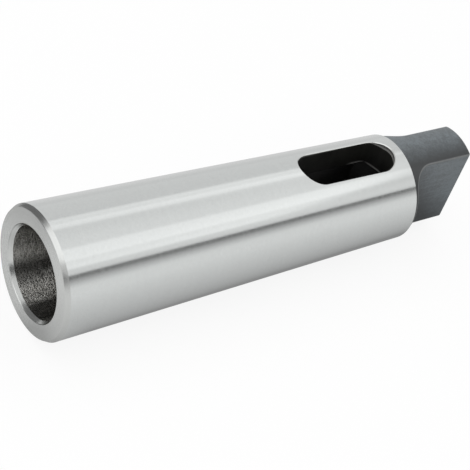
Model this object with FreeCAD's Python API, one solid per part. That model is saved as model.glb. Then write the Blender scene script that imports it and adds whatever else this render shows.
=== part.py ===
# A taper sleeve: a steel reducing sleeve with a No. 5 self-holding taper outside
# and a No. 4 self-holding taper socket inside. It is one piece, turned, bored,
# milled, hardened and ground.
#
# Lengths are in millimetres and run along +X from the mouth face, whose centre
# is the origin. The drift slot goes through along Z, and the two flats of the
# tang face +Y and -Y.

import FreeCAD
import Part
import math
import os

# Outer taper and body
GAUGE_DIAMETER = 44.399          # large-end basic size of the outer taper
GAUGE_DISTANCE = 21.5            # from the mouth face to the gauge plane
OUTER_TAPER = 0.05263            # change of diameter per unit of length
MOUTH_CHAMFER_LENGTH = 1.65      # outer chamfer at the mouth, along the axis
MOUTH_CHAMFER_DEPTH = 0.93       # the same chamfer, across the radius
MOUTH_BLEND_RADIUS = 0.35        # soft blend from the mouth face to that chamfer
BODY_END_BREAK = 0.35            # edge break at the small end of the taper

# Socket
SOCKET_DIAMETER = 31.267         # basic size of the inner taper at the mouth face
SOCKET_TAPER = 0.05194           # change of diameter per unit of length
SOCKET_DEPTH = 98.0              # reamed length of the inner taper, from the mouth face
SOCKET_CHAMFER_LENGTH = 1.45     # chamfer at the socket's mouth, along the axis
SOCKET_CHAMFER_DEPTH = 0.95      # the same chamfer, across the radius
RELIEF_DIAMETER = 26.5           # clearance bore behind the inner taper
RELIEF_LENGTH = 9.0              # length of that clearance bore
PILOT_DIAMETER = 21.6            # pilot hole that runs on across the drift slot
PILOT_SHORTFALL = 3.7            # from the pilot hole's cone to the end of the slot
DRILL_POINT_ANGLE = 118.0        # point angle of the drill that opened the relief
PILOT_POINT_ANGLE = 90.0         # point angle of the tool that ended the pilot hole

# Drift slot
SLOT_WIDTH = 14.35               # across the flats of the slot
SLOT_LENGTH = 39.6               # over its two full-round ends
SLOT_LAND = 0.7                  # from the end of the inner taper to the slot
SLOT_EDGE_BREAK = 0.3            # edge break where the slot leaves the taper
SLOT_TO_BODY_END = 4.0           # taper left whole between the slot and the tang

# Tang
TANG_LENGTH = 28.7               # from the end of the taper to the end of the tang
NECK_STEP = 0.92                 # from the end of the taper down to the tang's neck
NECK_BEVEL = 0.4                 # sloping corner between the body end and the neck
TANG_DRAFT = 0.3                 # what the tang loses in radius towards its free end
TANG_THICKNESS = 15.4            # across the two milled flats
RUNOUT_RADIUS = 8.0              # radius that the cutter leaves behind each flat
RUNOUT_SETBACK = 1.5             # neck left whole between body end and run-out
FLAT_EDGE_BREAK = 0.5            # rounded edge all round each flat
TANG_END_BREAK = 1.0             # rounded edge round the free end

# How far the cutting tools reach past the metal
TOOL_OVERRUN = 5.0

# How an edge is found: it is followed in this many steps, within this distance
EDGE_STEPS = 8
EDGE_TOLERANCE = 0.01

RELIEF_END = SOCKET_DEPTH + RELIEF_LENGTH
SLOT_START = SOCKET_DEPTH + SLOT_LAND
SLOT_END = SLOT_START + SLOT_LENGTH
PILOT_END = SLOT_END - PILOT_SHORTFALL
BODY_LENGTH = SLOT_END + SLOT_TO_BODY_END
OVERALL_LENGTH = BODY_LENGTH + TANG_LENGTH

AXIS_START = FreeCAD.Vector(0, 0, 0)
AXIS = FreeCAD.Vector(1, 0, 0)


def outer_radius(x):
    """Radius of the outer taper at a distance x from the mouth face."""
    return (GAUGE_DIAMETER - (x - GAUGE_DISTANCE) * OUTER_TAPER) / 2


def socket_radius(x):
    """Radius of the inner taper at a distance x from the mouth face."""
    return (SOCKET_DIAMETER - x * SOCKET_TAPER) / 2


def tang_radius(x):
    """Radius of the round bar that the tang is milled from."""
    neck = outer_radius(BODY_LENGTH) - NECK_STEP
    return neck - TANG_DRAFT * (x - BODY_LENGTH) / TANG_LENGTH


def turned(outline):
    """Solid of revolution about the axis, from (x, radius) points."""
    corners = [FreeCAD.Vector(x, radius, 0) for x, radius in outline]
    wire = Part.makePolygon(corners + corners[:1])
    return Part.Face(wire).revolve(AXIS_START, AXIS, 360)


def edges_where(shape, test):
    """Edges of a shape whose every sampled point passes a test."""
    chosen = []
    for edge in shape.Edges:
        if edge.Degenerated:
            continue
        start, end = edge.ParameterRange
        steps = [start + (end - start) * i / EDGE_STEPS for i in range(EDGE_STEPS + 1)]
        if all(test(edge.valueAt(step)) for step in steps):
            chosen.append(edge)
    return chosen


def off_axis(point):
    """Distance of a point from the axis."""
    return math.hypot(point.y, point.z)


def near(value, target):
    """True for two lengths that are the same, as far as an edge's place matters."""
    return abs(value - target) < EDGE_TOLERANCE


def turned_blank():
    """The outside before milling: mouth chamfer, outer taper, neck and tang bar."""
    mouth_radius = outer_radius(0)
    end_radius = outer_radius(BODY_LENGTH)
    face_edge = mouth_radius - MOUTH_CHAMFER_DEPTH
    blank = turned([
        (0, 0),
        (0, face_edge),
        (MOUTH_CHAMFER_LENGTH, outer_radius(MOUTH_CHAMFER_LENGTH)),
        (BODY_LENGTH - BODY_END_BREAK, outer_radius(BODY_LENGTH - BODY_END_BREAK)),
        (BODY_LENGTH, end_radius - BODY_END_BREAK),
        (BODY_LENGTH, tang_radius(BODY_LENGTH) + NECK_BEVEL),
        (BODY_LENGTH + NECK_BEVEL, tang_radius(BODY_LENGTH + NECK_BEVEL)),
        (OVERALL_LENGTH, tang_radius(OVERALL_LENGTH)),
        (OVERALL_LENGTH, 0),
    ])
    face_rim = edges_where(blank, lambda p: near(p.x, 0) and near(off_axis(p), face_edge))
    return blank.makeFillet(MOUTH_BLEND_RADIUS, face_rim)


def socket_tool():
    """What the boring takes out: chamfer, inner taper, relief bore and pilot hole."""
    mouth = SOCKET_DIAMETER / 2 + SOCKET_CHAMFER_DEPTH
    relief = RELIEF_DIAMETER / 2
    pilot = PILOT_DIAMETER / 2
    relief_cone = (relief - pilot) / math.tan(math.radians(DRILL_POINT_ANGLE / 2))
    pilot_cone = pilot / math.tan(math.radians(PILOT_POINT_ANGLE / 2))
    return turned([
        (-TOOL_OVERRUN, 0),
        (-TOOL_OVERRUN, mouth),
        (0, mouth),
        (SOCKET_CHAMFER_LENGTH, socket_radius(SOCKET_CHAMFER_LENGTH)),
        (SOCKET_DEPTH, socket_radius(SOCKET_DEPTH)),
        (SOCKET_DEPTH, relief),
        (RELIEF_END, relief),
        (RELIEF_END + relief_cone, pilot),
        (PILOT_END, pilot),
        (PILOT_END + pilot_cone, 0),
    ])


def slot_tool():
    """The drift slot's cutter path: a bar with two full-round ends, along Z."""
    half = SLOT_WIDTH / 2
    reach = outer_radius(0) + TOOL_OVERRUN
    first = SLOT_START + half
    last = SLOT_END - half
    low = -reach
    far_side = Part.LineSegment(FreeCAD.Vector(first, half, low), FreeCAD.Vector(last, half, low))
    right_end = Part.Arc(FreeCAD.Vector(last, half, low), FreeCAD.Vector(SLOT_END, 0, low),
                         FreeCAD.Vector(last, -half, low))
    near_side = Part.LineSegment(FreeCAD.Vector(last, -half, low), FreeCAD.Vector(first, -half, low))
    left_end = Part.Arc(FreeCAD.Vector(first, -half, low), FreeCAD.Vector(SLOT_START, 0, low),
                        FreeCAD.Vector(first, half, low))
    outline = Part.Wire([c.toShape() for c in (far_side, right_end, near_side, left_end)])
    return Part.Face(outline).extrude(FreeCAD.Vector(0, 0, 2 * reach))


def flat_tool(side):
    """What the mill takes off one side of the tang, with its run-out radius."""
    flat = TANG_THICKNESS / 2
    wall = BODY_LENGTH + RUNOUT_SETBACK
    centre = wall + RUNOUT_RADIUS
    lift = flat + RUNOUT_RADIUS
    reach = tang_radius(BODY_LENGTH) + TOOL_OVERRUN
    beyond = OVERALL_LENGTH + TOOL_OVERRUN
    bow = RUNOUT_RADIUS * math.sin(math.radians(45))
    low = -reach

    def at(x, y):
        return FreeCAD.Vector(x, side * y, low)

    runout = Part.Arc(at(centre, flat), at(centre - bow, lift - bow), at(wall, lift))
    corners = [at(wall, lift), at(wall, reach), at(beyond, reach), at(beyond, flat), at(centre, flat)]
    lines = [Part.LineSegment(a, b).toShape() for a, b in zip(corners, corners[1:])]
    outline = Part.Wire([runout.toShape()] + lines)
    return Part.Face(outline).extrude(FreeCAD.Vector(0, 0, 2 * reach))


def break_flat_edges(sleeve):
    """Rounds the long edges of both flats, and the edges of their run-outs."""
    flat = TANG_THICKNESS / 2
    wall = BODY_LENGTH + RUNOUT_SETBACK

    def on_rim(point):
        return (point.x > wall - EDGE_TOLERANCE and abs(point.y) > flat - EDGE_TOLERANCE
                and near(off_axis(point), tang_radius(point.x)))

    return sleeve.makeFillet(FLAT_EDGE_BREAK, edges_where(sleeve, on_rim))


def break_tang_end(sleeve):
    """Rounds the edge round the tang's free end."""
    rim = edges_where(sleeve, lambda p: near(p.x, OVERALL_LENGTH))
    return sleeve.makeFillet(TANG_END_BREAK, rim)


def break_slot_edges(sleeve):
    """Bevels the two outlines where the drift slot leaves the outer taper."""
    def on_outline(point):
        return (near(off_axis(point), outer_radius(point.x))
                and SLOT_START - EDGE_TOLERANCE < point.x < SLOT_END + EDGE_TOLERANCE)

    return sleeve.makeChamfer(SLOT_EDGE_BREAK, edges_where(sleeve, on_outline))


def taper_sleeve():
    """The finished sleeve."""
    sleeve = turned_blank()
    for side in (-1, 1):
        sleeve = sleeve.cut(flat_tool(side))
    sleeve = break_flat_edges(sleeve)
    sleeve = break_tang_end(sleeve)
    sleeve = sleeve.cut(slot_tool())
    sleeve = break_slot_edges(sleeve)
    return sleeve.cut(socket_tool())


def main():
    os.makedirs("parts", exist_ok=True)
    sleeve = taper_sleeve()
    solid = sleeve.Solids[0]
    solid.exportStep("parts/taper_sleeve.step")
    box = solid.BoundBox
    print("taper_sleeve valid", solid.isValid(), "solids", len(sleeve.Solids),
          "volume", round(solid.Volume, 1), "box", round(box.XLength, 2),
          round(box.YLength, 2), round(box.ZLength, 2))


main()
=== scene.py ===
"""A steel taper sleeve: it is turned, bored and milled as one piece, finished and set in a small studio.

Lengths are in metres. The axis runs along +X from the mouth face to the tang, and the drift slot
goes through along Z.
"""

import math

import bmesh
import bpy
import numpy as np
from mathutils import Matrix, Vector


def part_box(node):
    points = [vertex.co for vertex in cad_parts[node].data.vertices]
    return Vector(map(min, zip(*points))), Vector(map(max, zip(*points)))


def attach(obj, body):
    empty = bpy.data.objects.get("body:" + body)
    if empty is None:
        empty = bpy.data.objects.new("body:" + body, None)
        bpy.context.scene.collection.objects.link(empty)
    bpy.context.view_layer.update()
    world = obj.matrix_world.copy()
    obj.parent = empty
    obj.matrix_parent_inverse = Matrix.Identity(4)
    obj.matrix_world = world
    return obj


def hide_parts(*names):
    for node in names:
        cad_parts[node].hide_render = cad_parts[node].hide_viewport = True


bl_info = {
    "name": "Taper sleeve",
    "version": (1, 0, 0),
    "blender": (4, 5, 0),
    "location": "3D View > Sidebar > Taper sleeve",
    "description": "Builds a steel taper sleeve with its finishes and a small studio round it",
    "category": "Mesh",
}

NODE = "taper_sleeve"
BODY = "root"
RUBBED_AND_LIT = "rubbed_and_lit"
MM = 0.001

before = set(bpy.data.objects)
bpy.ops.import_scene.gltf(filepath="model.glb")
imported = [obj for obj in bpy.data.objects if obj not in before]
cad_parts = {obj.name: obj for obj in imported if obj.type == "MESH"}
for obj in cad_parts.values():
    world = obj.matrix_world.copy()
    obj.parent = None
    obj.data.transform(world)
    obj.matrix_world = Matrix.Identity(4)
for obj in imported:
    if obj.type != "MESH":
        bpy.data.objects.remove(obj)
CAD_LOW, CAD_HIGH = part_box(NODE)
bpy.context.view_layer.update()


def length(name, millimetres, description):
    """A length that a user can change, given in millimetres and kept in metres."""
    return bpy.props.FloatProperty(
        name=name, default=millimetres * MM, description=description, unit="LENGTH", precision=5)


def taper(name, value, description):
    """A taper that a user can change."""
    return bpy.props.FloatProperty(name=name, default=value, precision=5, description=description)


def colour(name, value, description):
    """A colour that a user can change."""
    return bpy.props.FloatVectorProperty(
        name=name, default=value, description=description, subtype="COLOR", size=3, min=0, max=1)


def share(name, value, description):
    """A number from 0 to 1 that a user can change."""
    return bpy.props.FloatProperty(
        name=name, default=value, description=description, subtype="FACTOR", min=0, max=1)


class SleeveSizes(bpy.types.PropertyGroup):
    """Sizes of the sleeve, as they are turned, bored and milled."""
    overall_length: length("Overall length", CAD_HIGH.x / MM, "From the mouth face to the tang's free end")
    gauge_diameter: length("Gauge diameter", 44.399, "Diameter of the outer taper at the gauge plane")
    gauge_distance: length("Gauge distance", 21.5, "From the mouth face to the gauge plane")
    outer_taper: taper("Outer taper", 0.05263, "Change of diameter per unit of length")
    mouth_chamfer_length: length("Mouth chamfer length", 1.65, "Outer chamfer at the mouth, along the axis")
    mouth_chamfer_depth: length("Mouth chamfer depth", 0.93, "The same chamfer, across the radius")
    mouth_blend: length("Mouth blend", 0.2, "Width of the soft edge between the mouth face and its chamfer")
    socket_diameter: length("Socket diameter", 31.267, "Diameter of the inner taper at the mouth face")
    socket_taper: taper("Socket taper", 0.05194, "Change of diameter per unit of length")
    socket_depth: length("Socket depth", 98.0, "Reamed length of the inner taper")
    socket_chamfer_length: length("Socket chamfer length", 1.45, "Chamfer at the socket's mouth, along it")
    socket_chamfer_depth: length("Socket chamfer depth", 0.95, "The same chamfer, across the radius")
    relief_diameter: length("Relief diameter", 26.5, "Clearance bore behind the inner taper")
    relief_length: length("Relief length", 9.0, "Length of that clearance bore")
    pilot_diameter: length("Pilot diameter", 21.6, "Pilot hole that runs on across the drift slot")
    pilot_shortfall: length("Pilot shortfall", 3.7, "From the pilot hole's cone to the end of the slot")
    slot_width: length("Slot width", 14.35, "Across the flats of the drift slot")
    slot_length: length("Slot length", 39.6, "Over the drift slot's two full-round ends")
    slot_land: length("Slot land", 0.7, "From the end of the inner taper to the slot")
    slot_edge_break: length("Slot edge break", 0.3, "Bevel where the slot leaves the taper")
    slot_to_body_end: length("Slot to body end", 4.0, "Taper left whole between the slot and the tang")
    body_end_break: length("Body end break", 0.35, "Bevel at the small end of the taper")
    neck_step: length("Neck step", 0.92, "From the end of the taper down to the tang's neck")
    neck_bevel: length("Neck bevel", 0.4, "Sloping corner between the body end and the neck")
    tang_draft: length("Tang draft", 0.3, "What the tang loses in radius towards its free end")
    tang_thickness: length("Tang thickness", 15.4, "Across the two milled flats")
    runout_radius: length("Run-out radius", 8.0, "Radius that the cutter leaves behind each flat")
    runout_setback: length("Run-out setback", 1.5, "Neck left whole between the body end and the run-out")
    flat_edge_break: length("Flat edge break", 0.5, "Rounded edge all round each flat")
    tang_end_break: length("Tang end break", 1.0, "Rounded edge round the free end of the tang")


class SleeveFinish(bpy.types.PropertyGroup):
    """Colours and polish of the sleeve's finishes."""
    ground_colour: colour("Ground steel", (0.60, 0.616, 0.610), "Colour of the ground taper")
    turned_colour: colour("Turned steel", (0.54, 0.55, 0.54), "Colour of the mouth face and the chamfers")
    reamed_colour: colour("Reamed steel", (0.62, 0.61, 0.58), "Colour of the socket's walls")
    oxide_colour: colour("Black oxide", (0.136, 0.160, 0.174), "Colour of the tang's black oxide")
    # The edge colour is oxide wear and also a painted highlight along the tang's rounded edges
    wear_and_highlight_colour: colour("Worn edge", (0.30, 0.31, 0.31), "Colour where the oxide is rubbed on an edge")
    slot_colour: colour("Slot wall", (0.018, 0.018, 0.016), "Colour of the slot's walls and drilled holes")
    # Colour of a lighter band at the top of the slot's far end, and of the painted highlight where the
    # pilot hole's cone meets the slot's wall
    band_and_highlight_colour: colour("Slot step", (0.30, 0.30, 0.29), "Colour of the step at the top of the slot's end")
    ground_roughness: share("Ground roughness", 0.13, "Roughness of the ground taper")
    turned_roughness: share("Turned roughness", 0.20, "Roughness of the turned face")
    reamed_roughness: share("Reamed roughness", 0.22, "Roughness of the socket's walls")
    oxide_roughness: share("Oxide roughness", 0.33, "Roughness of the black oxide")
    oxide_gloss: bpy.props.FloatProperty(
        name="Oxide gloss", default=1.6, description="Refractive index of the black oxide", min=1, max=3)


class SleeveStudio(bpy.types.PropertyGroup):
    """Camera, lamps and room."""
    camera_place: bpy.props.FloatVectorProperty(
        name="Camera place", default=(-0.215063, -0.286447, 0.383557), unit="LENGTH", precision=5,
        description="Where the camera stands")
    camera_turn: bpy.props.FloatVectorProperty(
        name="Camera turn", subtype="EULER", description="How the camera is turned",
        default=(math.radians(44.5254), math.radians(-15.0866), math.radians(-30.9959)))
    camera_lens: bpy.props.FloatProperty(
        name="Camera lens", default=126.26, unit="CAMERA", description="Focal length on a 36 mm sensor")
    fill: share("Fill light", 0.62, "Strength of the plain light from all round")
    overhead_strength: share("Overhead strength", 0.42, "Brightness of the large softbox overhead")
    core_strength: share("Core strength", 0.22, "Brightness of that softbox's two hot stripes")
    left_strength: share("Left strength", 0.93, "Brightness of the softbox over the mouth")


# Measures that follow from the sizes


def outer_radius(sizes, x):
    """Radius of the outer taper at a distance x from the mouth face."""
    return (sizes.gauge_diameter - (x - sizes.gauge_distance) * sizes.outer_taper) / 2


def socket_radius(sizes, x):
    """Radius of the inner taper at a distance x from the mouth face."""
    return (sizes.socket_diameter - x * sizes.socket_taper) / 2


def slot_ends(sizes):
    """Where the drift slot starts and ends along the axis."""
    start = sizes.socket_depth + sizes.slot_land
    return start, start + sizes.slot_length


def pilot_end(sizes):
    """Where the pilot hole's round wall ends and its cone begins."""
    return slot_ends(sizes)[1] - sizes.pilot_shortfall


def body_length(sizes):
    """Length of the outer taper, from the mouth face to the tang."""
    return slot_ends(sizes)[1] + sizes.slot_to_body_end


def bar_radius(sizes, x):
    """Radius of the round bar that the tang is milled from."""
    start = body_length(sizes)
    neck = outer_radius(sizes, start) - sizes.neck_step
    return neck - sizes.tang_draft * (x - start) / (sizes.overall_length - start)


def runout_centre(sizes):
    """Where the centre of the run-out's radius lies, along the axis."""
    return body_length(sizes) + sizes.runout_setback + sizes.runout_radius


def core_radius(sizes):
    """Half the pilot hole's radius: beside the tang's length, what lies further out is its outside."""
    return sizes.pilot_diameter / 4


# Selecting and shaping in edit mode

CLOSE = 0.01 * MM


def start_fresh():
    """Leaves nothing selected, in object mode."""
    if bpy.context.object and bpy.context.object.mode != "OBJECT":
        bpy.ops.object.mode_set(mode="OBJECT")
    bpy.ops.object.select_all(action="DESELECT")


def take(piece):
    """Selects one piece alone and makes it the active one."""
    start_fresh()
    piece.select_set(True)
    bpy.context.view_layer.objects.active = piece


def pick_points(test):
    """Selects the points of the mesh in edit mode that pass a test, with the edges between them."""
    mesh = bmesh.from_edit_mesh(bpy.context.object.data)
    for point in mesh.verts:
        point.select = bool(test(point.co))
    mesh.select_mode = {"VERT"}
    mesh.select_flush_mode()
    bmesh.update_edit_mesh(bpy.context.object.data)


def face_outwards():
    """Turns every face of the mesh in edit mode outwards, and leaves edit mode."""
    bpy.ops.mesh.select_all(action="SELECT")
    bpy.ops.mesh.normals_make_consistent(inside=False)
    bpy.ops.object.mode_set(mode="OBJECT")


def off_axis(point):
    """Distance of a point from the axis."""
    return math.hypot(point.y, point.z)


def near(value, target):
    """True for two lengths that are the same, as far as a point's place matters."""
    return abs(value - target) < CLOSE


# Turning and boring

RING_POINTS = 512
GATHER_STRENGTH = 0.75
GATHER_WIDTH = math.radians(6)

BAR_STEPS = 8
RUNOUT_STEPS = 48
RIM_STEPS = 6
END_STEPS = 8
TAPER_STEPS = 24
SOCKET_STEPS = 12
BLEND_SEGMENTS = 5

WALL_GAP = 0.004 * MM
CONE_TIP = 0.02 * MM
DRILL_POINT = math.radians(118)


def gathered(angle, corner):
    """Moves an angle from 0 to a right angle so that the ring's points crowd round a corner."""
    def crowded(value):
        rise = math.erf((value - corner) / GATHER_WIDTH) + math.erf(corner / GATHER_WIDTH)
        return value - GATHER_STRENGTH * GATHER_WIDTH * math.sqrt(math.pi) / 2 * rise

    right = math.pi / 2
    return crowded(angle) * right / crowded(right)


def gather_ring(sizes):
    """Crowds the first ring's points where the tang's flats will have their corners."""
    corner = math.acos(sizes.tang_thickness / 2 / bar_radius(sizes, runout_centre(sizes)))
    mesh = bmesh.from_edit_mesh(bpy.context.object.data)
    for point in mesh.verts:
        radius = off_axis(point.co)
        angle = gathered(math.atan2(abs(point.co.z), abs(point.co.y)), corner)
        point.co.y = math.copysign(radius * math.cos(angle), point.co.y)
        point.co.z = math.copysign(radius * math.sin(angle), point.co.z)
    bmesh.update_edit_mesh(bpy.context.object.data)


def even_steps(start, end, count):
    """Stations from start to end, without the start itself."""
    return [start + (end - start) * (i + 1) / count for i in range(count)]


def tang_stations(sizes):
    """Stations of the tang's rings, from its free end to the neck."""
    centre = runout_centre(sizes)
    wall = centre - sizes.runout_radius
    stations = even_steps(sizes.overall_length - sizes.tang_end_break, centre, BAR_STEPS)
    for i in range(1, RUNOUT_STEPS + 1):
        angle = math.pi / 2 * i / RUNOUT_STEPS
        stations.append(centre - sizes.runout_radius * math.sin(angle))
    stations[-1] = wall + WALL_GAP
    stations.append(wall - WALL_GAP)
    stations += even_steps(wall - WALL_GAP, wall - sizes.flat_edge_break, RIM_STEPS)
    return stations


def outside_rings(sizes):
    """Rings of the outside as (x, radius), from the tang's free end to the mouth face."""
    body = body_length(sizes)
    edge = sizes.tang_end_break
    rings = []
    for i in range(END_STEPS + 1):
        angle = math.pi / 2 * i / END_STEPS
        x = sizes.overall_length - edge + edge * math.cos(angle)
        rings.append((x, bar_radius(sizes, x) - edge + edge * math.sin(angle)))
    rings += [(x, bar_radius(sizes, x)) for x in tang_stations(sizes)]
    neck_end = body + sizes.neck_bevel
    rings.append((neck_end, bar_radius(sizes, neck_end)))
    rings.append((body, bar_radius(sizes, body) + sizes.neck_bevel))
    rings.append((body, outer_radius(sizes, body) - sizes.body_end_break))
    taper_end = body - sizes.body_end_break
    stations = [taper_end] + even_steps(taper_end, sizes.mouth_chamfer_length, TAPER_STEPS)
    rings += [(x, outer_radius(sizes, x)) for x in stations]
    rings.append((0, outer_radius(sizes, 0) - sizes.mouth_chamfer_depth))
    return rings


def bore_rings(sizes):
    """Rings of the bore as (x, radius), from the mouth face to the tip of the pilot hole's cone."""
    relief = sizes.relief_diameter / 2
    pilot = sizes.pilot_diameter / 2
    relief_end = sizes.socket_depth + sizes.relief_length
    relief_cone = (relief - pilot) / math.tan(DRILL_POINT / 2)
    chamfer = sizes.socket_chamfer_length
    stations = [chamfer] + even_steps(chamfer, sizes.socket_depth, SOCKET_STEPS)
    rings = [(0, sizes.socket_diameter / 2 + sizes.socket_chamfer_depth)]
    rings += [(x, socket_radius(sizes, x)) for x in stations]
    rings.append((sizes.socket_depth, relief))
    rings.append((relief_end, relief))
    rings.append((relief_end + relief_cone, pilot))
    rings.append((pilot_end(sizes), pilot))
    rings.append((pilot_end(sizes) + pilot - CONE_TIP, CONE_TIP))
    return rings


def turn_blank(sizes):
    """Turns and bores the sleeve: one ring is drawn out from the free end along the whole outline."""
    rings = outside_rings(sizes) + bore_rings(sizes)
    x, radius = rings[0]
    bpy.ops.mesh.primitive_circle_add(
        vertices=RING_POINTS, radius=radius, location=(x, 0, 0), rotation=(0, math.pi / 2, 0))
    blank = bpy.context.object
    bpy.ops.object.transform_apply()
    bpy.ops.object.mode_set(mode="EDIT")
    gather_ring(sizes)
    bpy.ops.mesh.select_all(action="SELECT")
    for next_x, next_radius in rings[1:]:
        bpy.ops.mesh.extrude_edges_move(TRANSFORM_OT_translate={"value": (next_x - x, 0, 0)})
        scale = next_radius / radius
        bpy.ops.transform.resize(value=(1, scale, scale), center_override=(next_x, 0, 0))
        x, radius = next_x, next_radius
    bpy.ops.mesh.merge(type="CENTER")
    end_x, end_radius = rings[0]
    pick_points(lambda p: near(p.x, end_x) and near(off_axis(p), end_radius))
    bpy.ops.mesh.edge_face_add()
    face_rim = outer_radius(sizes, 0) - sizes.mouth_chamfer_depth
    pick_points(lambda p: near(p.x, 0) and near(off_axis(p), face_rim))
    bpy.ops.mesh.bevel(offset=sizes.mouth_blend, segments=BLEND_SEGMENTS, affect="EDGES")
    face_outwards()
    return blank


# Milling the tang

HALVINGS = 40


def read_points(piece):
    """The piece's points as rows of x, y and z."""
    points = np.empty(len(piece.data.vertices) * 3, np.float32)
    piece.data.vertices.foreach_get("co", points)
    return points.reshape(-1, 3).astype(float)


def outside_bar(sizes, x, y, z):
    """Distance outside the round bar that the tang is milled from."""
    return np.hypot(y, z) - bar_radius(sizes, x)


def inside_cut(sizes, x, y):
    """Distance inside what the cutter took off beside the flats, up to its run-out radius."""
    before_centre = np.maximum(runout_centre(sizes) - x, 0)
    lift = sizes.tang_thickness / 2 + sizes.runout_radius
    return sizes.runout_radius - np.hypot(before_centre, np.maximum(lift - np.abs(y), 0))


def rounded_meeting(first, second, radius):
    """Distance outside what lies inside both of two surfaces, with the edge between them rounded."""
    round_part = np.hypot(np.maximum(first + radius, 0), np.maximum(second + radius, 0))
    return np.minimum(np.maximum(first, second), -radius) + round_part


def outside_tang(sizes, x, y, z):
    """Distance outside the milled tang: the bar, less what the cutter took, less the rounded end."""
    milled = rounded_meeting(
        outside_bar(sizes, x, y, z), inside_cut(sizes, x, y), sizes.flat_edge_break)
    return rounded_meeting(milled, x - sizes.overall_length, sizes.tang_end_break)


def mill_tang(piece, sizes):
    """Moves the tang's points in along their radius until they lie on the milled surface."""
    points = read_points(piece)
    x, y, z = points.T
    radius = np.hypot(y, z)
    tang = (x > body_length(sizes) + sizes.neck_bevel / 2) & (radius > core_radius(sizes))
    x, y, z, radius = x[tang], y[tang], z[tang], radius[tang]
    outside, inside = radius + sizes.tang_end_break, np.zeros_like(radius)
    for _ in range(HALVINGS):
        middle = (outside + inside) / 2
        out = outside_tang(sizes, x, y * middle / radius, z * middle / radius) > 0
        outside = np.where(out, middle, outside)
        inside = np.where(out, inside, middle)
    points[tang, 1] = y * inside / radius
    points[tang, 2] = z * inside / radius
    piece.data.vertices.foreach_set("co", points.astype(np.float32).ravel())
    piece.data.update()


# Milling the drift slot

SLOT_POINTS = 128
CUTTER_RISE = 8
MIRROR_MERGE = 0.001 * MM
SLIVER = 0.012 * MM

# A cut's points come in any order, so they are sorted by distance from here, off every middle plane
SORT_FROM = (-0.1, 0.037, 0.061)


def slot_ring(sizes, spread, lift):
    """Puts the selected ring on the slot's outline, wider by spread and above the taper by lift."""
    start, end = slot_ends(sizes)
    half = sizes.slot_width / 2
    mesh = bmesh.from_edit_mesh(bpy.context.object.data)
    for point in mesh.verts:
        if not point.select:
            continue
        centre = start + half if point.co.x < (start + end) / 2 else end - half
        angle = math.atan2(point.co.y, point.co.x - centre)
        point.co.x = centre + (half + spread) * math.cos(angle)
        point.co.y = (half + spread) * math.sin(angle)
        radius = outer_radius(sizes, point.co.x)
        point.co.z = math.sqrt(radius ** 2 - point.co.y ** 2) + lift
    bmesh.update_edit_mesh(bpy.context.object.data)


def slot_cutter(sizes):
    """A bar with full-round ends that opens out where it leaves the taper, so that it bevels the edge."""
    start, end = slot_ends(sizes)
    half = sizes.slot_width / 2
    middle = (start + end) / 2
    turn = math.pi / SLOT_POINTS
    bpy.ops.mesh.primitive_circle_add(
        vertices=SLOT_POINTS, radius=half / math.cos(turn), location=(middle, 0, 0), rotation=(0, 0, turn))
    cutter = bpy.context.object
    bpy.ops.object.transform_apply()
    bpy.ops.object.mode_set(mode="EDIT")
    for side in (-1, 1):
        pick_points(lambda p: (p.x - middle) * side > 0)
        bpy.ops.transform.translate(value=(side * (sizes.slot_length / 2 - half), 0, 0))
    bpy.ops.mesh.select_all(action="SELECT")
    edge = sizes.slot_edge_break
    for spread, lift in ((0, -edge), (edge, 0), (2 * edge, edge), (2 * edge, CUTTER_RISE * edge)):
        bpy.ops.mesh.extrude_edges_move(TRANSFORM_OT_translate={"value": (0, 0, half)})
        slot_ring(sizes, spread, lift)
    bpy.ops.mesh.edge_face_add()
    bpy.ops.object.mode_set(mode="OBJECT")
    bpy.ops.object.modifier_add(type="MIRROR")
    mirror = cutter.modifiers[-1]
    mirror.use_axis = (False, False, True)
    mirror.merge_threshold = MIRROR_MERGE
    bpy.ops.object.modifier_apply(modifier=mirror.name)
    bpy.ops.object.mode_set(mode="EDIT")
    face_outwards()
    return cutter


def clean_cut():
    """Merges the slivers that a cut leaves, in an order that is the same each time."""
    cursor = bpy.context.scene.cursor
    cursor.location = SORT_FROM
    bpy.ops.object.mode_set(mode="EDIT")
    bpy.ops.mesh.select_all(action="SELECT")
    bpy.ops.mesh.sort_elements(type="CURSOR_DISTANCE", elements={"VERT", "EDGE", "FACE"})
    bpy.ops.mesh.remove_doubles(threshold=SLIVER)
    bpy.ops.mesh.dissolve_degenerate(threshold=SLIVER)
    bpy.ops.object.mode_set(mode="OBJECT")
    cursor.location = (0, 0, 0)


def cut_away(piece, cutter):
    """Takes the cutter's shape out of the piece, and removes the cutter."""
    take(piece)
    bpy.ops.object.modifier_add(type="BOOLEAN")
    cut = piece.modifiers[-1]
    cut.operation = "DIFFERENCE"
    cut.solver = "EXACT"
    cut.object = cutter
    bpy.ops.object.modifier_apply(modifier=cut.name)
    bpy.data.objects.remove(cutter)
    clean_cut()


# Shader maths

# Places of the sockets that are used among those of their nodes
OBJECT_PLACE = 3
WORLD_DIRECTION = 0
ATTRIBUTE_NUMBER = 2
CAMERA_RAY, GLOSSY_RAY, CLEAR_RAY = 0, 3, 6
FIRST_COLOUR, SECOND_COLOUR, MIXED_COLOUR = 6, 7, 2

# How far from its middle a noise is taken to reach: the nearer, the sharper it looks
SOFT = 0.2
SHARP = 0.15

BLACK = (0, 0, 0)
WHITE = (1, 1, 1)


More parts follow.
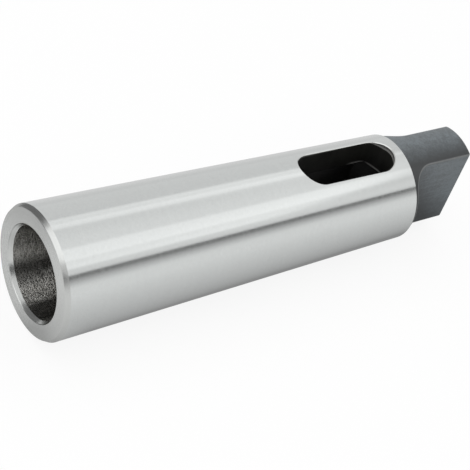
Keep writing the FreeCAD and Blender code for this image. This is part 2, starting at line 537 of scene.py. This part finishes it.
class Value:
    """A socket of a material's nodes. Sums and products of values add Math nodes."""

    def __init__(self, board, socket):
        self.board = board
        self.socket = socket

    def maths(self, operation, *terms):
        """A Math node's result."""
        return self.board.add("ShaderNodeMath", {"operation": operation}, dict(enumerate(terms)))[0]

    def __add__(self, other):
        return self.maths("ADD", self, other)

    def __radd__(self, other):
        return self.maths("ADD", other, self)

    def __sub__(self, other):
        return self.maths("SUBTRACT", self, other)

    def __rsub__(self, other):
        return self.maths("SUBTRACT", other, self)

    def __mul__(self, other):
        return self.maths("MULTIPLY", self, other)

    def __rmul__(self, other):
        return self.maths("MULTIPLY", other, self)

    def __truediv__(self, other):
        return self.maths("DIVIDE", self, other)

    def __abs__(self):
        return self.maths("ABSOLUTE", self)

    def at_least(self, other):
        """The larger of two values."""
        return self.maths("MAXIMUM", self, other)

    def beside(self, other):
        """Length of the long side of the right triangle that two values make."""
        return self.maths("SQRT", self * self + other * other)


class Board:
    """The node board of a material or of the world."""

    def __init__(self, owner):
        owner.use_nodes = True
        self.tree = owner.node_tree
        self.tree.nodes.clear()

    def add(self, kind, settings=None, inputs=None):
        """Adds a node: first its settings, then its sockets' values and links. Returns its outputs."""
        node = self.tree.nodes.new(kind)
        for name, value in (settings or {}).items():
            setattr(node, name, value)
        for name, value in (inputs or {}).items():
            if isinstance(value, Value):
                self.tree.links.new(value.socket, node.inputs[name])
            else:
                node.inputs[name].default_value = value
        return [Value(self, socket) for socket in node.outputs]

    def place(self):
        """The piece's own coordinates."""
        return self.add("ShaderNodeTexCoord")[OBJECT_PLACE]

    def axes(self, place=None):
        """The x, y and z of a place, or else of the piece's own coordinates."""
        return self.add("ShaderNodeSeparateXYZ", {}, {"Vector": place or self.place()})

    def rays(self):
        """Two switches: 1 where the camera looks, also through clear material, and 1 in the gloss."""
        rays = self.add("ShaderNodeLightPath")
        return rays[CAMERA_RAY] + rays[CLEAR_RAY], rays[GLOSSY_RAY]

    def mix(self, factor, first, second):
        """A colour between two others."""
        paints = {0: factor, FIRST_COLOUR: paint(first), SECOND_COLOUR: paint(second)}
        return self.add("ShaderNodeMix", {"data_type": "RGBA"}, paints)[MIXED_COLOUR]

    def noise(self, per_metre, detail=2.0, offset=(0, 0, 0)):
        """Noise from 0 to 1 on the piece's own coordinates, so many times per metre along each axis."""
        mapped = {"Vector": self.place(), "Scale": per_metre, "Location": offset}
        return self.plain_noise(self.add("ShaderNodeMapping", {}, mapped)[0], detail)

    def plain_noise(self, vector, detail):
        """Noise from 0 to 1 that repeats about once for each unit of a vector."""
        return self.add("ShaderNodeTexNoise", {}, {"Vector": vector, "Scale": 1.0, "Detail": detail})[0]

    def span(self, value, low, high, new_low=0.0, new_high=1.0):
        """A value moved from one range to another, and kept in it."""
        terms = {0: value, 1: low, 2: high, 3: new_low, 4: new_high}
        return self.add("ShaderNodeMapRange", {"clamp": True}, terms)[0]

    def fall(self, value, low, high):
        """1 below a range, 0 above it and even between."""
        return self.span(value, low, high, 1.0, 0.0)

    def spread(self, noise, low=0.0, high=1.0, reach=SOFT):
        """Noise, most of which lies within a reach of its middle, spread out from low to high."""
        return self.span(noise, 0.5 - reach, 0.5 + reach, low, high)

    def relief(self, height, depth):
        """A relief so deep, in metres, from a height of 0 to 1."""
        return self.add("ShaderNodeBump", {}, {"Height": height, "Distance": depth, "Strength": 1.0})[0]

    def surface(self, inputs):
        """Ends a material with a Principled shader."""
        self.finish(self.add("ShaderNodeBsdfPrincipled", {}, inputs)[0])

    def dull(self, tone):
        """A shader of one grey without gloss."""
        return self.add("ShaderNodeBsdfDiffuse", {}, {"Color": (tone, tone, tone, 1)})[0]

    def blend(self, factor, first, second):
        """A shader between two others."""
        return self.add("ShaderNodeMixShader", {}, {0: factor, 1: first, 2: second})[0]

    def finish(self, shader, kind="ShaderNodeOutputMaterial"):
        """Links a shader to the output."""
        self.add(kind, {}, {"Surface": shader})


def paint(value):
    """A colour as a socket takes it."""
    return value if isinstance(value, Value) else (*value, 1)


def toned(value, factor):
    """A colour made lighter or darker."""
    return [min(part * factor, 1) for part in value]


def new_material(name):
    """An empty material and its board."""
    material = bpy.data.materials.new(name)
    return material, Board(material)


# Ground and turned steel, with their noise so many times per metre along x, y and z

FINE_LINES = (4600, 900, 900)
BROAD_LINES = (700, 60, 60)
GROUND_SPREAD = 0.035
GROUND_DEPTH = 0.003 * MM
GROUND_PATCHES = 0.03

TURNED_RINGS = 8000.0
TURNED_CLOUD = (90, 90, 90)
TURNED_SPREAD = 0.03
TURNED_DEPTH = 0.07 * MM
TURNED_PATCHES = 0.06
FACE_ENDS = (0.02 * MM, 0.3 * MM)
CHAMFER_RELIEF = 0.03


def two_tones(value, spread):
    """A colour a little darker and a little lighter."""
    return toned(value, 1 - spread), toned(value, 1 + spread)


def ground_steel(finish):
    """The ground taper: fine lines run round it, each a little brighter or duller than its neighbour."""
    material, board = new_material("ground_steel")
    fine = board.noise(FINE_LINES)
    broad = board.noise(BROAD_LINES, 1.0, (3, 1, 7))
    lines = 0.8 * fine + 0.2 * broad
    rough = finish.ground_roughness
    board.surface({
        "Base Color": board.mix(board.spread(lines), *two_tones(finish.ground_colour, GROUND_SPREAD)),
        "Metallic": 1.0,
        "Roughness": board.spread(broad, rough, rough + GROUND_PATCHES),
        "Normal": board.relief(fine, GROUND_DEPTH)})
    return material


def turned_steel(finish):
    """The mouth face and the chamfers: rings left by the turning tool, deepest on the face."""
    material, board = new_material("turned_steel")
    x, y, z = board.axes()
    across = {"X": y.beside(z) * TURNED_RINGS, "Y": x * TURNED_RINGS, "Z": 0.0}
    rings = board.plain_noise(board.add("ShaderNodeCombineXYZ", {}, across)[0], 2.0)
    cloud = board.noise(TURNED_CLOUD)
    height = rings * board.span(x, *FACE_ENDS, 1.0, CHAMFER_RELIEF)
    rough = finish.turned_roughness
    board.surface({
        "Base Color": board.mix(board.spread(rings), *two_tones(finish.turned_colour, TURNED_SPREAD)),
        "Metallic": 1.0,
        "Roughness": board.spread(cloud, rough, rough + TURNED_PATCHES),
        "Normal": board.relief(height, TURNED_DEPTH)})
    return material


# The socket's reamed wall

REAM_GRAIN = (2800, 2800, 2800)
REAM_RINGS = (9000, 500, 500)
REAM_DEPTH = 0.12 * MM
REAM_PATCHES = 0.1
BRIGHTEST_REAM = 1.5
# The wall's tone where no reflection is painted, the tone of the paler painted reflections, and the grain's
# speckle, stronger in the bright painted streak
REAM_TONE = 0.2
SIDE_REFLECTION_TONE = 0.44
FINE_SPECKLE = 0.25
REFLECTION_SPECKLE = 0.5

# Painted reflections of the studio on the socket's wall, placed by stretches round it, from -1 at its front
# over 0 at its top and bottom to 1 at its back
REFLECTION_STARTS = (-0.05, 0.05)
REFLECTION_ENDS = (0.36, 0.68)
BACK_REFLECTION_STARTS = (0.76, 0.92)
FRONT_REFLECTION_ENDS = (-0.8, -0.5)
REFLECTION_FROM_MOUTH = 25.0 * MM
UPPER_WALL = (2.0 * MM, 9.0 * MM)


def reamed_steel(finish):
    """The socket's walls: a reamed grain, with painted reflections: a bright streak along one stretch of
    the back wall, where the grain shows stronger, paler stretches at its front and far back, and darker
    bands between them.
    """
    material, board = new_material("reamed_steel")
    grain = board.noise(REAM_GRAIN)
    rings = board.noise(REAM_RINGS, 1.0)
    x, y, z = board.axes()
    sideways = y / y.beside(z)
    # Painted reflections: a bright streak on the back wall, stronger deeper in, and paler stretches at the
    # front and far back, weaker on the upper wall
    painted_reflection = board.span(sideways, *REFLECTION_STARTS) * board.fall(sideways, *REFLECTION_ENDS)
    reflecting_sides = board.span(sideways, *BACK_REFLECTION_STARTS) + board.fall(sideways, *FRONT_REFLECTION_ENDS)
    plain = reflecting_sides * board.span(z, *UPPER_WALL, 1.0, 0.5)
    deeper = board.span(x, 0.0, REFLECTION_FROM_MOUTH, 0.2, 1.0)
    tone = REAM_TONE + painted_reflection * deeper + SIDE_REFLECTION_TONE * plain
    speckle = board.spread(grain, -1.0, 1.0, SHARP) * (FINE_SPECKLE + REFLECTION_SPECKLE * painted_reflection)
    rough = finish.reamed_roughness
    board.surface({
        "Base Color": board.mix(
            tone * (1.0 + speckle), BLACK, toned(finish.reamed_colour, BRIGHTEST_REAM)),
        "Metallic": 1.0,
        "Roughness": board.spread(grain, rough, rough + REAM_PATCHES),
        "Normal": board.relief(rings, REAM_DEPTH)})
    return material


# The tang's black oxide

OXIDE_CLOUD = (160, 160, 160)
OXIDE_BLOTCHES = (588, 420, 210)
OXIDE_STREAKS = (70, 840, 840)
OXIDE_SPECKLE = (1500, 1500, 1500)
OXIDE_DEPTH = 0.01 * MM
DARKEST_OXIDE = 0.1
MOTTLE_TONES = (0.70, 1.30)
SPECKLE_TONES = (0.80, 1.20)
# Patches in which the rounded edges are lighter, as oxide wear and a painted highlight
WEAR_AND_HIGHLIGHT_PATCHES = (0.35, 0.6, 0.7, 1.0)

# Painted shade on the oxide: where it gets lighter, and its darkest and lightest tone there; the round part
# is darker towards the front, and the flats are darker towards their bottom and the neck
FLAT_BELOW_BAR = (0.5 * MM, 0.05 * MM)
ROUND_SHADE_FADE = (-6.8 * MM, 1.5 * MM)
ROUND_SHADE_TONES = (0.02, 0.80)
FLAT_SHADE_SLANT = 1.1
FLAT_SHADE_MIDDLE = 160 * MM
FLAT_SHADE_FADE = (-12.0 * MM, 8.0 * MM)
FLAT_SHADE_TONES = (0.11, 0.90)


def black_oxide(finish, sizes):
    """The tang's black oxide: mottled, streaky where it is milled, with painted shade towards the front and
    the bottom, and lighter along its rounded edges, as oxide wear and as a painted highlight.
    """
    material, board = new_material("black_oxide")
    cloud = board.noise(OXIDE_CLOUD, 4.0)
    blotches = board.noise(OXIDE_BLOTCHES, 4.0, (4, 0, 2))
    streaks = board.noise(OXIDE_STREAKS, 3.0, (2, 5, 1))
    speckle = board.noise(OXIDE_SPECKLE)
    x, y, z = board.axes()
    bar = bar_radius(sizes, sizes.overall_length)
    on_flat = board.fall(y.beside(z), *(bar - below for below in FLAT_BELOW_BAR))
    # Painted shade: the round part is darker towards the front, and the flats are darker towards their
    # bottom and the neck
    round_painted_shade = board.span(y, *ROUND_SHADE_FADE, *ROUND_SHADE_TONES)
    flat_painted_shade = board.span(z + FLAT_SHADE_SLANT * (x - FLAT_SHADE_MIDDLE), *FLAT_SHADE_FADE, *FLAT_SHADE_TONES)
    tone = round_painted_shade * (1.0 - on_flat) + flat_painted_shade * on_flat
    mottle = 0.4 * cloud + 0.6 * (blotches + on_flat * (streaks - blotches))
    shade = tone * board.spread(mottle, *MOTTLE_TONES, SHARP) * board.spread(speckle, *SPECKLE_TONES, SHARP)
    whole = board.mix(shade, toned(finish.oxide_colour, DARKEST_OXIDE), finish.oxide_colour)
    # Lighter along the rounded edges, in patches: oxide wear and a painted highlight
    rubbed_and_lit = board.add("ShaderNodeAttribute", {"attribute_name": RUBBED_AND_LIT})[ATTRIBUTE_NUMBER]
    wear_and_highlight = rubbed_and_lit * board.span(cloud, *WEAR_AND_HIGHLIGHT_PATCHES)
    rough = finish.oxide_roughness
    board.surface({
        "Base Color": board.mix(wear_and_highlight, whole, finish.wear_and_highlight_colour),
        "Metallic": 0.0,
        "IOR": finish.oxide_gloss,
        "Roughness": board.spread(cloud, rough - 0.05, rough + 0.08),
        "Normal": board.relief(speckle, OXIDE_DEPTH)})
    return material


# The drift slot's walls

WALL_CLOUD = (300, 300, 90)
WALL_DEPTH = 0.03 * MM
# Where the painted shade deeper in the walls lifts, by distance from the axis
WALL_SHADE_FADE = (9 * MM, 14 * MM)
LIGHTEST_WALL = 1.3
WALL_ROUGHNESS = 0.5
WALL_GLOSS = 1.3
# The painted highlight where the pilot hole's cone meets the slot's wall: its width, the rounding of its
# corner and where it starts
CONE_RIM = 0.75 * MM
CONE_BLEND = 4.0 * MM
RIM_STARTS = (-8 * MM, -5 * MM)
BAND_DEPTH = 1.9 * MM
BAND_STARTS = (0.3, 0.9)
BAND_MIDDLE = 0.6
BAND_UPPER_TONE = 0.35
BAND_EDGE = 0.1 * MM


def cone_rim_highlight(board, sizes, x, y, radius):
    """1 where the pilot hole and its cone meet the slot's wall, with their corner rounded: there a
    highlight is painted.
    """
    pilot = sizes.pilot_diameter / 2
    cone = pilot_end(sizes) + pilot - x
    from_pilot = abs(radius - cone.maths("SMOOTH_MIN", cone, pilot, CONE_BLEND))
    half = sizes.slot_width / 2
    round_end = (x - (slot_ends(sizes)[1] - half)).at_least(0.0)
    from_wall = abs(round_end.beside(y) - half)
    past_start = board.span(x, *(pilot_end(sizes) + part for part in RIM_STARTS))
    return board.fall(from_pilot, 0, CONE_RIM) * board.fall(from_wall, 0, CONE_RIM) * past_start


def end_band(board, sizes, x, radius):
    """1 on the lower part of a lighter band at the top of the slot's far end, less above it, and 0 below
    it.
    """
    end = slot_ends(sizes)[1]
    half = sizes.slot_width / 2
    depth = outer_radius(sizes, end) - radius
    band = board.span(x - (end - half), *(part * half for part in BAND_STARTS)) * BAND_DEPTH
    lower = board.span(depth - BAND_MIDDLE * band, 0, BAND_EDGE, BAND_UPPER_TONE, 1.0)
    return lower * board.fall(depth - band, 0, BAND_EDGE)


def slot_oxide(finish, sizes):
    """The drift slot's walls: unground and dark, painted darker deeper in, with a painted highlight where
    the pilot hole's cone meets them.

    The slot's far end is also lighter in a band at its top.
    """
    material, board = new_material("slot_oxide")
    cloud = board.noise(WALL_CLOUD, 4.0)
    x, y, z = board.axes()
    radius = y.beside(z)
    # Painted shade: the wall is darker deeper in, towards the axis
    tone = board.spread(cloud, 0.5, 1.0) * board.span(radius, *WALL_SHADE_FADE, 0.3, 1.0)
    wall = board.mix(tone, BLACK, toned(finish.slot_colour, LIGHTEST_WALL))
    # Painted highlight along the rim where the pilot hole's cone meets the slot's wall
    with_cone_highlight = board.mix(cone_rim_highlight(board, sizes, x, y, radius), wall, finish.band_and_highlight_colour)
    banded = board.mix(end_band(board, sizes, x, radius), with_cone_highlight, finish.band_and_highlight_colour)
    board.surface({
        "Base Color": banded,
        "Metallic": 0.0,
        "Roughness": WALL_ROUGHNESS,
        "IOR": WALL_GLOSS,
        "Normal": board.relief(cloud, WALL_DEPTH)})
    return material


# Where each finish goes

GROUND, TURNED, REAMED, OXIDE, WALLS = range(5)

# The oxide covers this share of the body end's bevel
BREAK_SHARE = 0.98

# A ground face's centre lies less than this below the taper
SKIN = 0.02 * MM

# The slot's bevel is looked for this many of its own widths below the taper, and this far past the slot
BEVEL_REACH = 1.5
SLOT_MARGIN = 1.0 * MM

# Parts of a face's normal: across the axis, towards the mouth, and along Z on the slot's upright walls
MOSTLY_OUT = 0.9
TO_MOUTH = -0.3
UPRIGHT = 0.05


def on_slot_wall(sizes, centre, normal):
    """True for a face of the drift slot's walls."""
    start, end = slot_ends(sizes)
    half = sizes.slot_width / 2
    if abs(normal.z) >= UPRIGHT or abs(centre.y) >= half + CLOSE:
        return False
    from_end = max(start + half - centre.x, centre.x - (end - half), 0)
    return near(math.hypot(from_end, centre.y), half) or near(abs(centre.y), half)


def face_finish(sizes, centre, normal):
    """Which finish a face has, by its place and the way it looks."""
    x = centre.x
    radius = off_axis(centre)
    outward = (centre.y * normal.y + centre.z * normal.z) / radius if radius else 0.0
    outside = radius > core_radius(sizes) or near(x, sizes.overall_length)
    if outside and x > body_length(sizes) - sizes.body_end_break * BREAK_SHARE:
        return OXIDE
    taper_radius = outer_radius(sizes, x)
    if x > sizes.mouth_chamfer_length and radius > taper_radius - SKIN and outward > MOSTLY_OUT:
        return GROUND
    if x < sizes.mouth_chamfer_length and (normal.x < TO_MOUTH or outward > 0):
        return TURNED
    start, end = slot_ends(sizes)
    at_slot = start - SLOT_MARGIN < x < end + SLOT_MARGIN
    if at_slot and radius > taper_radius - BEVEL_REACH * sizes.slot_edge_break:
        return TURNED
    if at_slot and on_slot_wall(sizes, centre, normal):
        return WALLS
    return REAMED if x < sizes.socket_depth else WALLS


def mark_wear_and_highlight(piece, sizes):
    """Marks how far each point of the tang lies on a rounded edge, which is painted lighter, as oxide wear
    and as a painted highlight.
    """
    points = read_points(piece)
    x, y, z = points.T
    bar = outside_bar(sizes, x, y, z)
    cut = inside_cut(sizes, x, y)
    end = x - sizes.overall_length
    rubbed_and_lit = np.zeros(len(points))
    for first, second in ((bar, cut), (bar, end), (cut, end)):
        off = np.maximum(np.abs(first), np.abs(second)) / sizes.flat_edge_break
        rubbed_and_lit = np.maximum(rubbed_and_lit, np.clip(1 - off, 0, 1))
    rubbed_and_lit[x < body_length(sizes) + sizes.neck_bevel] = 0
    layer = piece.data.attributes.new(RUBBED_AND_LIT, "FLOAT", "POINT")
    layer.data.foreach_set("value", rubbed_and_lit.astype(np.float32))


def dress(piece, sizes, finish):
    """Gives each face of the sleeve its finish."""
    for maker in (ground_steel, turned_steel, reamed_steel):
        piece.data.materials.append(maker(finish))
    for maker in (black_oxide, slot_oxide):
        piece.data.materials.append(maker(finish, sizes))
    for face in piece.data.polygons:
        face.material_index = face_finish(sizes, face.center, face.normal)
    mark_wear_and_highlight(piece, sizes)


# Making the sleeve

SMOOTH_ANGLE = math.radians(24)


class SLEEVE_OT_make_sleeve(bpy.types.Operator):
    """Turns, bores and mills the sleeve, and gives it its finishes"""
    bl_idname = "sleeve.make_sleeve"
    bl_label = "Make the sleeve"

    def execute(self, context):
        sizes = context.scene.sleeve_sizes
        start_fresh()
        sleeve = turn_blank(sizes)
        sleeve.name = sleeve.data.name = "ground_sleeve"
        mill_tang(sleeve, sizes)
        start_fresh()
        cut_away(sleeve, slot_cutter(sizes))
        take(sleeve)
        bpy.ops.object.shade_smooth_by_angle(angle=SMOOTH_ANGLE)
        dress(sleeve, sizes, context.scene.sleeve_finish)
        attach(sleeve, BODY)
        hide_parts(NODE)
        return {"FINISHED"}


# The floor

FLOOR_SIZE = 6.0
BODY_MIDDLE = 0.075
FLOOR_WHITE = 1.03
FLOOR_GLOW = 0.85
FLOOR_PAPER = 0.9

# The sleeve's shadow in the gloss: it fades faster ahead of the mouth, and is weaker at the mouth
SHADOW_REACH = 0.0122
SHADOW_NEAREST = 0.018
AHEAD_FADE = 3.0
MOUTH_STARTS = (-0.02, 0.001)
MOUTH_SIDES = (-0.004, 0.008)
MOUTH_LIGHT = (0.3, 0.8)

# Two places behind the mouth that are darker in the gloss
BEHIND_MOUTH = 0.34
LEFT_STARTS = (0.010, 0.022)
LEFT_BACK = (0.025, 0.036)
NEAR_ENDS = (0.015, 0.035)
NEAR_BACK = (0.038, 0.055)

# The floor gets darker towards the back in two fades: where each starts and ends, and how much it takes
BACK_FADES = ((0.0, 0.03, 0.06), (0.06, 0.3, 0.11))


def white_floor():
    """A white floor that keeps the sleeve's soft shadow, also where the steel mirrors it."""
    material, board = new_material("white_floor")
    seen, glossy = board.rays()
    x, y, _ = board.axes()
    ahead = 0.0 - x
    away = board.span(ahead, 0.0, 1.0, 0.0, AHEAD_FADE).beside(y)
    at_mouth = board.span(ahead, *MOUTH_STARTS) * board.span(y, *MOUTH_SIDES, *MOUTH_LIGHT)
    lit = 1.0 - SHADOW_REACH * (1.0 - at_mouth) / away.at_least(SHADOW_NEAREST)
    left_behind = board.span(y, *LEFT_BACK) * board.span(ahead, *LEFT_STARTS)
    near_behind = board.span(y, *NEAR_BACK) * board.fall(x, *NEAR_ENDS)
    first, second = (board.span(y, low, high, 0.0, more) for low, high, more in BACK_FADES)
    darker = (first + second).at_least(BEHIND_MOUTH * left_behind.at_least(near_behind))
    white = FLOOR_WHITE * seen + glossy * lit * (1.0 - darker)
    glow = board.add("ShaderNodeEmission", {}, {"Color": paint(WHITE), "Strength": white})[0]
    board.finish(board.blend(FLOOR_GLOW * seen + glossy, board.dull(FLOOR_PAPER), glow))
    return material


def add_floor():
    """The floor that the sleeve lies on."""
    bpy.ops.mesh.primitive_plane_add(size=FLOOR_SIZE, location=(BODY_MIDDLE, 0, CAD_LOW.z))
    floor = bpy.context.object
    floor.name = "floor"
    bpy.ops.object.transform_apply()
    floor.data.materials.append(white_floor())


# Softboxes and dark cards

LAMP_DISTANCE = 0.45

# Each softbox: the angles round the sleeve that it fills, its stretch along it, and its strength's name
SOFTBOXES = {
    "overhead_softbox": ((43, 132), (0.12, 0.54), "overhead_strength"),
    "front_core": ((53, 80), (0.12, 0.55), "core_strength"),
    "back_core": ((110, 129), (0.12, 0.54), "core_strength"),
    "left_softbox": ((60, 124), (-0.38, 0.05), "left_strength"),
}

FLAG_ANGLES = (11, 45)
FLAG_ALONG = (-0.4, 0.75)
FLAG_TONE = 0.02
FLAG_DENSITY = 0.88
FLAG_SOLID = 0.2

SHADE_DISTANCE = 0.5
SHADE_AROUND = math.radians(-132)
SHADE_UP = math.radians(22)
SHADE_SIZE = (0.13, 0.20)
SHADE_TONE = 0.05

CURTAIN_DISTANCE = 0.11
CURTAIN_POINTS = 90
CURTAIN_SIDES = (-58, 12)
CURTAIN_TOP = math.radians(47)
CURTAIN_TONE = 0.3


def around_axis(angle, distance, along):
    """A point beside the sleeve: angle 0 is in front of it and 90 above it, seen along its axis."""
    turn = math.radians(angle)
    return along, -distance * math.cos(turn), distance * math.sin(turn)


def panel_frame(angles, along):
    """Place, turn, length and width of a panel that fills a span of angles and a stretch of the axis."""
    middle = sum(angles) / 2
    width = 2 * LAMP_DISTANCE * math.tan(math.radians((angles[1] - angles[0]) / 2))
    place = around_axis(middle, LAMP_DISTANCE, sum(along) / 2)
    return place, (math.radians(middle - 90), 0, 0), along[1] - along[0], width


def softbox(name, angles, along, strength):
    """A softbox beside the sleeve."""
    place, turn, size, width = panel_frame(angles, along)
    bpy.ops.object.light_add(type="AREA", location=place, rotation=turn)
    lamp = bpy.context.object
    lamp.name = name
    lamp.data.shape = "RECTANGLE"
    lamp.data.size = size
    lamp.data.size_y = width
    lamp.data.energy = strength * math.pi * size * width


def flat_card(name, place, turn, width, height):
    """A rectangular card at a place."""
    bpy.ops.mesh.primitive_plane_add(size=1, location=place, rotation=turn)
    card = bpy.context.object
    card.name = name
    card.scale = (width, height, 1)
    bpy.ops.object.transform_apply()
    return card


def only_in_gloss(card, material):
    """Leaves a dark card to the gloss of the steel: it casts no shadow and no camera sees it."""
    card.data.materials.append(material)
    card.visible_camera = False
    card.visible_diffuse = False
    card.visible_shadow = False


def dark_card(name, tone):
    """Dark card for what draws dark lines and edges on the bright steel."""
    material, board = new_material(name)
    board.finish(board.dull(tone))
    return material


def graded_card(name, angles):
    """Black card that thins out towards its lower edge, and is even over a share at the top."""
    edge = LAMP_DISTANCE / math.cos(math.radians((angles[1] - angles[0]) / 2))
    low, high = (around_axis(angle, edge, 0)[2] for angle in angles)
    material, board = new_material(name)
    height = board.axes()[2]
    density = board.span(height, low, high - FLAG_SOLID * (high - low), 0.0, FLAG_DENSITY)
    clear = board.add("ShaderNodeBsdfTransparent")[0]
    board.finish(board.blend(density, clear, board.dull(FLAG_TONE)))
    return material


def front_flag():
    """A long strip in front, blackest at its upper edge, that draws the dark line along the taper."""
    card = flat_card("front_flag", *panel_frame(FLAG_ANGLES, FLAG_ALONG))
    only_in_gloss(card, graded_card(card.name, FLAG_ANGLES))


def camera_shade():
    """A dark card under the camera, at an angle round from straight back and an angle up."""
    level = SHADE_DISTANCE * math.cos(SHADE_UP)
    place = (level * math.sin(SHADE_AROUND), level * math.cos(SHADE_AROUND),
             SHADE_DISTANCE * math.sin(SHADE_UP))
    card = flat_card("camera_shade", place, (math.pi / 2, 0, -SHADE_AROUND), *SHADE_SIZE)
    only_in_gloss(card, dark_card(card.name, SHADE_TONE))


def back_curtain():
    """A curved dark curtain behind, between two angles from straight back, up to a third."""
    left, right = CURTAIN_SIDES
    height = CURTAIN_DISTANCE * math.tan(CURTAIN_TOP) - CAD_LOW.z
    bpy.ops.mesh.primitive_cylinder_add(
        vertices=CURTAIN_POINTS, radius=CURTAIN_DISTANCE, depth=height, end_fill_type="NOTHING",
        location=(0, 0, CAD_LOW.z + height / 2))
    card = bpy.context.object
    card.name = "back_curtain"
    bpy.ops.object.transform_apply()
    bpy.ops.object.mode_set(mode="EDIT")
    pick_points(lambda p: not left <= math.degrees(math.atan2(p.x, p.y)) <= right)
    bpy.ops.mesh.delete(type="VERT")
    bpy.ops.object.mode_set(mode="OBJECT")
    only_in_gloss(card, dark_card(card.name, CURTAIN_TONE))


# Room and camera

# How much darker the back wall and the ceiling are in the gloss, and where they start
BACK_WALL = 0.12
BACK_WALL_STARTS = (0.0, 0.4)
CEILING = 0.38
CEILING_STARTS = (0.55, 0.8)

SENSOR_WIDTH = 36
NEAREST_SEEN = 0.01


def light_room(scene, studio):
    """Plain light from all round, white where the camera sees it, with a greyer ceiling in the gloss."""
    scene.world = bpy.data.worlds.new("room")
    board = Board(scene.world)
    seen, glossy = board.rays()
    _, y, z = board.axes(board.add("ShaderNodeTexCoord")[WORLD_DIRECTION])
    back_wall = BACK_WALL * board.span(y, *BACK_WALL_STARTS)
    ceiling = CEILING * board.span(z, *CEILING_STARTS)
    mirrored = 1.0 - back_wall - ceiling
    strength = studio.fill + (1 - studio.fill) * seen + glossy * (mirrored - studio.fill)
    room = board.add("ShaderNodeBackground", {}, {"Color": paint(WHITE), "Strength": strength})[0]
    board.finish(room, "ShaderNodeOutputWorld")


def add_camera(scene, studio):
    """The camera at the photograph's viewing angle."""
    bpy.ops.object.camera_add(location=studio.camera_place, rotation=studio.camera_turn)
    camera = bpy.context.object
    camera.name = "camera"
    camera.data.lens = studio.camera_lens
    camera.data.sensor_width = SENSOR_WIDTH
    camera.data.clip_start = NEAREST_SEEN
    scene.camera = camera


class SLEEVE_OT_make_studio(bpy.types.Operator):
    """Adds the floor, the soft lights, the dark cards and the camera"""
    bl_idname = "sleeve.make_studio"
    bl_label = "Make the studio"

    def execute(self, context):
        scene = context.scene
        studio = scene.sleeve_studio
        start_fresh()
        add_floor()
        for name, (angles, along, strength) in SOFTBOXES.items():
            softbox(name, angles, along, getattr(studio, strength))
        front_flag()
        camera_shade()
        back_curtain()
        light_room(scene, studio)
        add_camera(scene, studio)
        scene.view_settings.view_transform = "Standard"
        return {"FINISHED"}


class SLEEVE_PT_panel(bpy.types.Panel):
    """Sizes, finishes and studio of the taper sleeve"""
    bl_idname = "SLEEVE_PT_panel"
    bl_label = "Taper sleeve"
    bl_space_type = "VIEW_3D"
    bl_region_type = "UI"
    bl_category = "Taper sleeve"

    def draw(self, context):
        scene = context.scene
        for group in (scene.sleeve_sizes, scene.sleeve_finish, scene.sleeve_studio):
            box = self.layout.box()
            for name in group.__annotations__:
                box.prop(group, name)
        self.layout.operator("sleeve.make_sleeve")
        self.layout.operator("sleeve.make_studio")


CLASSES = (SleeveSizes, SleeveFinish, SleeveStudio, SLEEVE_OT_make_sleeve, SLEEVE_OT_make_studio,
           SLEEVE_PT_panel)


def register():
    """Registers the classes and hangs the settings on the scene."""
    for part in CLASSES:
        bpy.utils.register_class(part)
    bpy.types.Scene.sleeve_sizes = bpy.props.PointerProperty(type=SleeveSizes)
    bpy.types.Scene.sleeve_finish = bpy.props.PointerProperty(type=SleeveFinish)
    bpy.types.Scene.sleeve_studio = bpy.props.PointerProperty(type=SleeveStudio)


def unregister():
    """Takes the settings off the scene and unregisters the classes."""
    del bpy.types.Scene.sleeve_studio
    del bpy.types.Scene.sleeve_finish
    del bpy.types.Scene.sleeve_sizes
    for part in reversed(CLASSES):
        bpy.utils.unregister_class(part)


def main():
    register()
    bpy.ops.sleeve.make_sleeve()
    bpy.ops.sleeve.make_studio()


if __name__ == "__main__":
    main()
